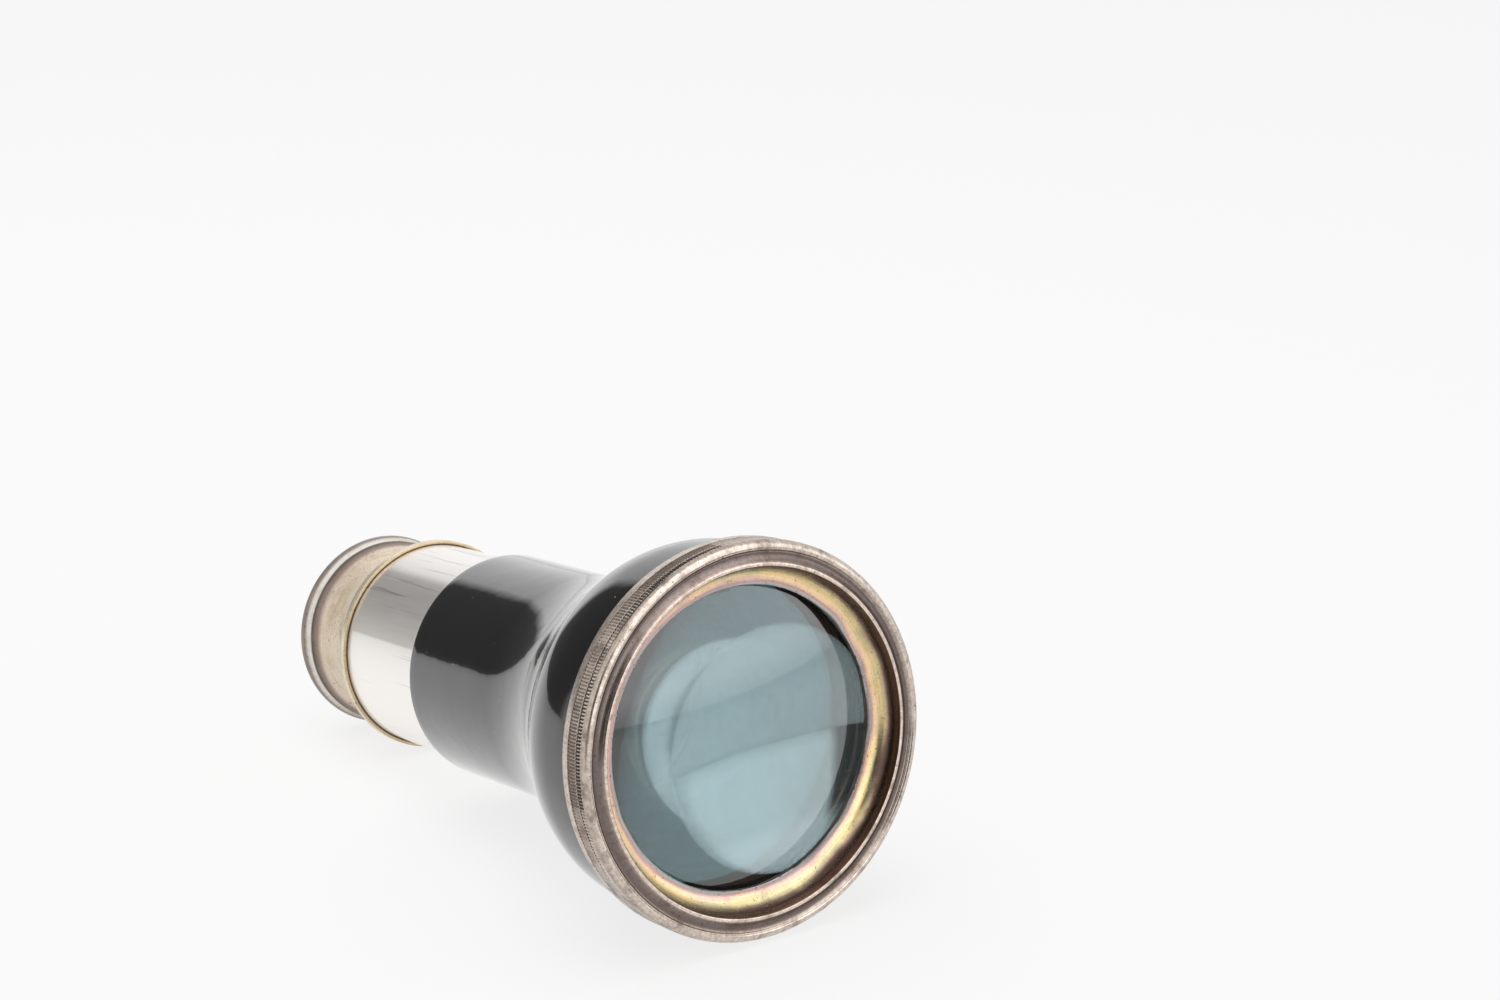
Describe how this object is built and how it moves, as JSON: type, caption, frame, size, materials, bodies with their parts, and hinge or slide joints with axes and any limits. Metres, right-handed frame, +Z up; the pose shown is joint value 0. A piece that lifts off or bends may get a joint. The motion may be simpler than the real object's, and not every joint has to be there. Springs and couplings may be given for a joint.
{
  "type": "draw-tube monocular",
  "caption": "Draw-tube monocular: trumpet-shaped lacquered barrel, milled objective ring, and a bright draw tube with a waisted eyepiece that slides and turns in the barrel.",
  "frame": {"origin": "middle of the bounding box, on the plane that the part lies on", "axes": "+X from the eye end to the objective, +Z up; the optical axis lies in the XZ plane and drops 7.44 degrees towards the eye end, because the part rests on the objective ring and on the rim of the eyepiece"},
  "size_m": [0.1058, 0.054, 0.054],
  "materials": {
    "plated_ring": "worn silver plate on turned brass, tarnished in the hollows",
    "plated_ferrule": "worn silver plate with a milled edge",
    "plated_collar": "silver plate worn to the brass at the edge",
    "plated_cup": "satin silver plate, lightly tarnished",
    "plated_cell": "turned, dull",
    "polished_tube": "mirror-polished silver plate, with fine rubbing marks along it",
    "black_lacquer": "glossy black stoved lacquer with small chips and pits",
    "raw_brass": "turned, unpolished",
    "spring_brass": "drawn wire, dull",
    "blackened_brass": "blackened against stray light",
    "tin_foil": "dull foil",
    "objective_glass": "polished crown glass",
    "flint_glass": "polished flint glass",
    "eye_glass": "polished crown glass"
  },
  "bodies": {
    "barrel": {"objective_cell": "plated_ring", "crown_lens": "objective_glass", "foil_spacers": "tin_foil", "flint_lens": "flint_glass", "lens_retaining_ring": "blackened_brass", "barrel_ferrule": "plated_ferrule", "barrel_drum": "black_lacquer", "barrel_trumpet": "black_lacquer", "guide_sleeve": "raw_brass"},
    "slider": {"stop_ring": "spring_brass"},
    "draw": {"draw_tube": "polished_tube", "draw_collar": "plated_collar", "eyepiece_cup": "plated_cup", "eye_lens_cell": "plated_cell", "eye_lens": "eye_glass", "eye_lens_ring": "blackened_brass"}
  },
  "joints": [
    {"name": "focus", "type": "slide", "parent": "barrel", "child": "slider", "axis": [-0.9916, 0, -0.1296], "range_m": [-0.0206, 0.01]},
    {"name": "turn", "type": "hinge", "parent": "slider", "child": "draw", "pos_m": [-0.03438, 0, 0.0164], "axis": [-0.9916, 0, -0.1296], "continuous": true}
  ]
}
